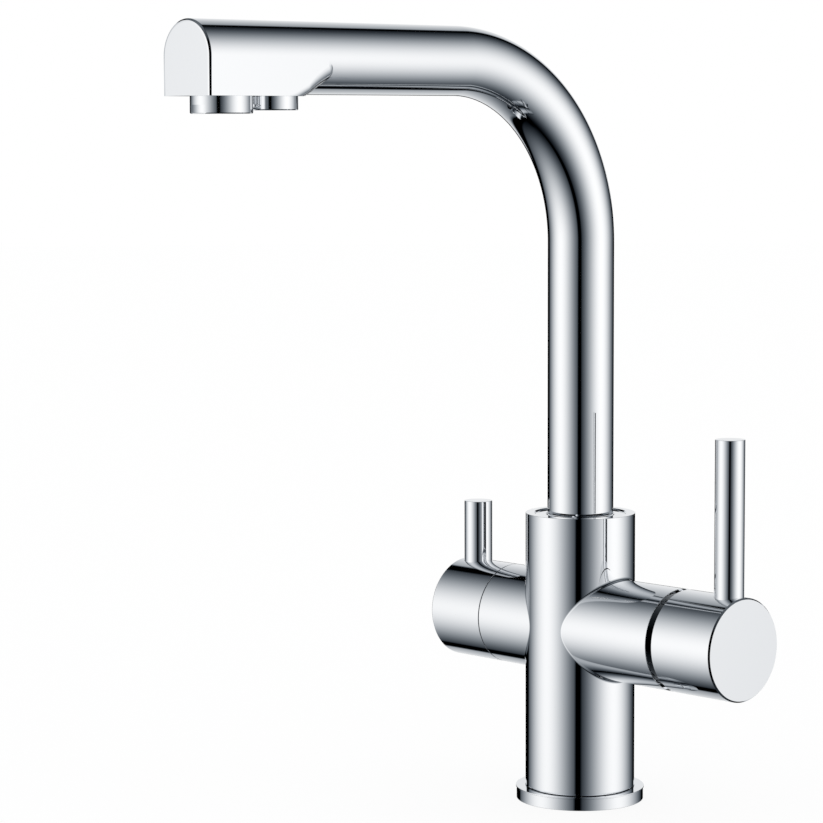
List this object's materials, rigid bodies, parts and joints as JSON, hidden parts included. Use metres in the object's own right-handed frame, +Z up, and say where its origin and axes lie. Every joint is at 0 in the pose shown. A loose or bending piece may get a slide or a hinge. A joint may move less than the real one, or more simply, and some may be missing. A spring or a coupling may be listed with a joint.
{
  "type": "three way filtered water tap",
  "caption": "Deck mounted kitchen tap with a swivelling swan neck spout, a side lever mixer and a separate filtered water knob and outlet.",
  "frame": {"origin": "on the deck plane, at the axis of the body column and of its fixing stud", "axes": "+Z up along the column, +X along the mixer arm, -Y along the spout's reach (the front)"},
  "size_m": [0.1611, 0.2405, 0.3275],
  "materials": {
    "chrome": "polished",
    "brass": "turned",
    "steel": "machined",
    "rubber": "matte",
    "white_plastic": "moulded",
    "ceramic": "lapped"
  },
  "bodies": {
    "tap_body": {"body_casting": "chrome", "base_ring": "chrome", "base_gasket": "rubber", "insert_ring": "chrome", "upper_slide_ring": "white_plastic", "lower_slide_ring": "white_plastic", "cartridge_seals": "rubber", "cartridge_base": "white_plastic", "fixed_ceramic_disc": "ceramic", "cartridge_housing": "white_plastic", "cartridge_nut": "brass", "mixer_cover_ring": "chrome", "filter_valve_body": "brass", "filter_valve_seal": "rubber", "filter_fixed_disc": "ceramic"},
    "spout": {"spout_foot": "brass", "spout_o_rings": "rubber", "spout_tube": "chrome", "filtered_water_tube": "white_plastic", "outlet_head": "chrome", "main_outlet_housing": "chrome", "main_outlet_insert": "white_plastic", "main_outlet_washer": "rubber", "filtered_outlet_housing": "chrome", "filtered_outlet_insert": "white_plastic", "filtered_outlet_washer": "rubber"},
    "mixer_turret": {"cartridge_turret": "white_plastic", "pivot_pin": "steel"},
    "mixer_disc": {"moving_ceramic_disc": "ceramic", "disc_carrier": "white_plastic"},
    "mixer_lever": {"mixer_stem": "brass", "mixer_cap": "chrome", "mixer_lever_rod": "chrome", "mixer_set_screw": "steel"},
    "filter_handle": {"filter_moving_disc": "ceramic", "filter_spindle": "brass", "filter_knob": "chrome", "filter_lever_rod": "chrome", "filter_set_screw": "steel"}
  },
  "joints": [
    {"name": "spout_swivel", "type": "hinge", "parent": "tap_body", "child": "spout", "pos_m": [0, 0, 0.11], "axis": [0, 0, 1], "continuous": true},
    {"name": "mixer_temperature", "type": "hinge", "parent": "tap_body", "child": "mixer_turret", "pos_m": [0.047, 0, 0.0753], "axis": [1, 0, 0], "range_deg": [-45, 45]},
    {"name": "mixer_flow", "type": "hinge", "parent": "mixer_turret", "child": "mixer_lever", "pos_m": [0.047, 0, 0.0753], "axis": [0, 1, 0], "range_deg": [0, 20]},
    {"name": "disc_slide", "type": "slide", "parent": "mixer_turret", "child": "mixer_disc", "axis": [0, 0, 1], "range_m": [0, 0.0038]},
    {"name": "filter_open", "type": "hinge", "parent": "tap_body", "child": "filter_handle", "pos_m": [-0.055, 0, 0.0753], "axis": [1, 0, 0], "range_deg": [0, 90]}
  ],
  "couplings": [
    {"joint": "disc_slide", "follows": "mixer_flow", "m_per_rad": 0.010778}
  ]
}
